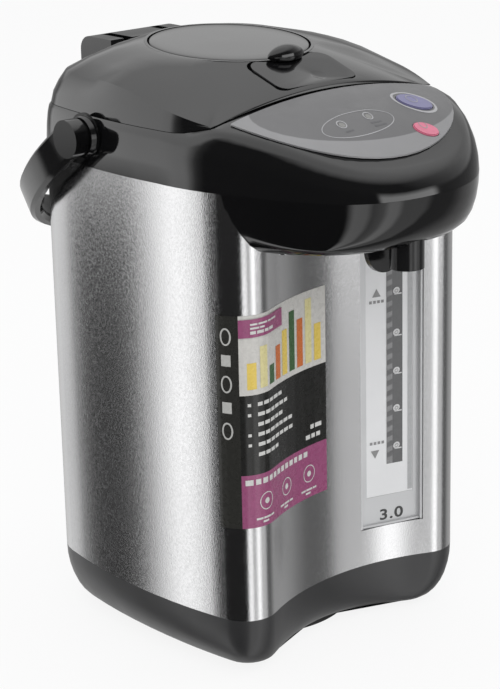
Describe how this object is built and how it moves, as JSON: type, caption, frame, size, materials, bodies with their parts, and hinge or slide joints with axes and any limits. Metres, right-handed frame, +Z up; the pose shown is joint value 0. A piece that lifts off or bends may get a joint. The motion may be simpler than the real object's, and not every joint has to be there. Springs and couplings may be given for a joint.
{
  "type": "electric thermo pot",
  "caption": "Electric hot water pot with brushed steel walls, black base, collar and beak, water gauge, control panel, hinged lid with press pump and a swinging carrying handle.",
  "frame": {"origin": "on the standing plane of the foot ring, on the plane of symmetry, under the middle of the pot's body", "axes": "+Z up, the spout and beak face -Y, +X to the right of someone who faces the front"},
  "size_m": [0.2068, 0.2689, 0.3218],
  "materials": {
    "steel": "brushed, satin",
    "tank_steel": "drawn",
    "black_gloss": "glossy",
    "black_base": "glossy",
    "black_matte": "fine grain",
    "silver_panel": "metallic film",
    "gauge_grey": "metallic",
    "clear_window": "clear",
    "blue_plastic": "satin",
    "red_plastic": "satin",
    "led_clear": "clear",
    "rubber_black": "matte",
    "silicone": "satin",
    "white_plastic": "satin",
    "fastener": "plated",
    "brass_pin": "bright",
    "aluminium_plate": "mill",
    "circuit_board": "varnished",
    "ceramic": "matte"
  },
  "bodies": {
    "pot": {"base_pan": "black_base", "bottom_cover": "black_matte", "foot_ring": "rubber_black", "base_screws": "fastener", "power_inlet": "black_matte", "inlet_pins": "brass_pin", "power_board": "circuit_board", "steel_shell": "steel", "inner_tank": "tank_steel", "mouth_deck": "black_matte", "tank_gasket": "silicone", "heater_plate": "aluminium_plate", "heater_bracket": "fastener", "thermostats": "ceramic", "thermal_fuse": "ceramic", "pump_motor": "fastener", "pump_housing": "white_plastic", "outlet_hose": "silicone", "gauge_tube": "clear_window", "delivery_tube": "silicone", "gauge_frame": "gauge_grey", "gauge_window": "clear_window", "gauge_scale": "gauge_grey", "gauge_light_board": "circuit_board", "collar": "black_gloss", "collar_screws": "fastener", "beak_cover": "black_gloss", "beak_screws": "fastener", "control_fascia": "silver_panel", "led_lenses": "led_clear", "control_board": "circuit_board", "spout_nozzle": "black_matte", "lever_pin": "fastener", "cup_switch": "black_matte", "hinge_block": "black_gloss", "hinge_pin": "fastener", "latch_keeper": "fastener", "handle_bosses": "black_gloss", "handle_pins": "fastener"},
    "pump_rotor": {"pump_impeller": "white_plastic"},
    "blue_key": {"blue_button": "blue_plastic"},
    "red_key": {"red_button": "red_plastic"},
    "cup_paddle": {"cup_lever": "black_matte"},
    "lid": {"lid_shell": "black_gloss", "lid_inner": "white_plastic", "lid_gasket": "silicone", "lid_screws": "fastener", "hinge_bracket": "black_matte", "pump_well": "black_matte", "air_valve": "silicone", "latch_tray": "black_matte", "latch_pin": "fastener", "bellows": "rubber_black", "pump_spring": "fastener"},
    "press_disc": {"pump_disc": "black_gloss"},
    "flap": {"latch_flap": "black_gloss"},
    "bolt": {"latch_bolt": "white_plastic"},
    "lock": {"lock_knob": "black_gloss"},
    "carrying_handle": {"handle": "black_gloss"}
  },
  "joints": [
    {"name": "impeller_spin", "type": "hinge", "parent": "pot", "child": "pump_rotor", "pos_m": [0, 0.007, 0.033], "axis": [0, 0, 1], "continuous": true},
    {"name": "blue_press", "type": "slide", "parent": "pot", "child": "blue_key", "axis": [-0.0977, 0.3827, -0.9187], "range_m": [0, 0.0012], "stiffness_N_per_m": 600, "springref_m": -0.0015},
    {"name": "red_press", "type": "slide", "parent": "pot", "child": "red_key", "axis": [-0.06, 0.5571, -0.8283], "range_m": [0, 0.0012], "stiffness_N_per_m": 600, "springref_m": -0.0015},
    {"name": "cup_paddle_swing", "type": "hinge", "parent": "pot", "child": "cup_paddle", "pos_m": [0, -0.102, 0.241], "axis": [1, 0, 0], "range_deg": [0, 7], "stiffness_Nm_per_rad": 0.05, "springref_deg": -11.46},
    {"name": "lid_hinge", "type": "hinge", "parent": "pot", "child": "lid", "pos_m": [0, 0.0965, 0.3015], "axis": [-1, 0, 0], "range_deg": [0, 80]},
    {"name": "air_pump_press", "type": "slide", "parent": "lid", "child": "press_disc", "axis": [0, 0.0732, -0.9973], "range_m": [0, 0.02], "stiffness_N_per_m": 200, "springref_m": -0.02, "deforming": ["bellows", "pump_spring"]},
    {"name": "flap_lift", "type": "hinge", "parent": "lid", "child": "flap", "pos_m": [0, -0.03098, 0.31023], "axis": [-1, 0, 0], "range_deg": [0, 18], "stiffness_Nm_per_rad": 0.05, "springref_deg": -22.92},
    {"name": "bolt_draw", "type": "slide", "parent": "lid", "child": "bolt", "axis": [0, 1, 0], "range_m": [0, 0.0055]},
    {"name": "lock_slide", "type": "slide", "parent": "lid", "child": "lock", "axis": [1, 0, 0], "range_m": [0, 0.004]},
    {"name": "handle_swing", "type": "hinge", "parent": "pot", "child": "carrying_handle", "pos_m": [0, 0.026, 0.2795], "axis": [1, 0, 0], "range_deg": [0, 132]}
  ],
  "couplings": [
    {"joint": "bolt_draw", "follows": "flap_lift", "m_per_rad": 0.0124}
  ]
}
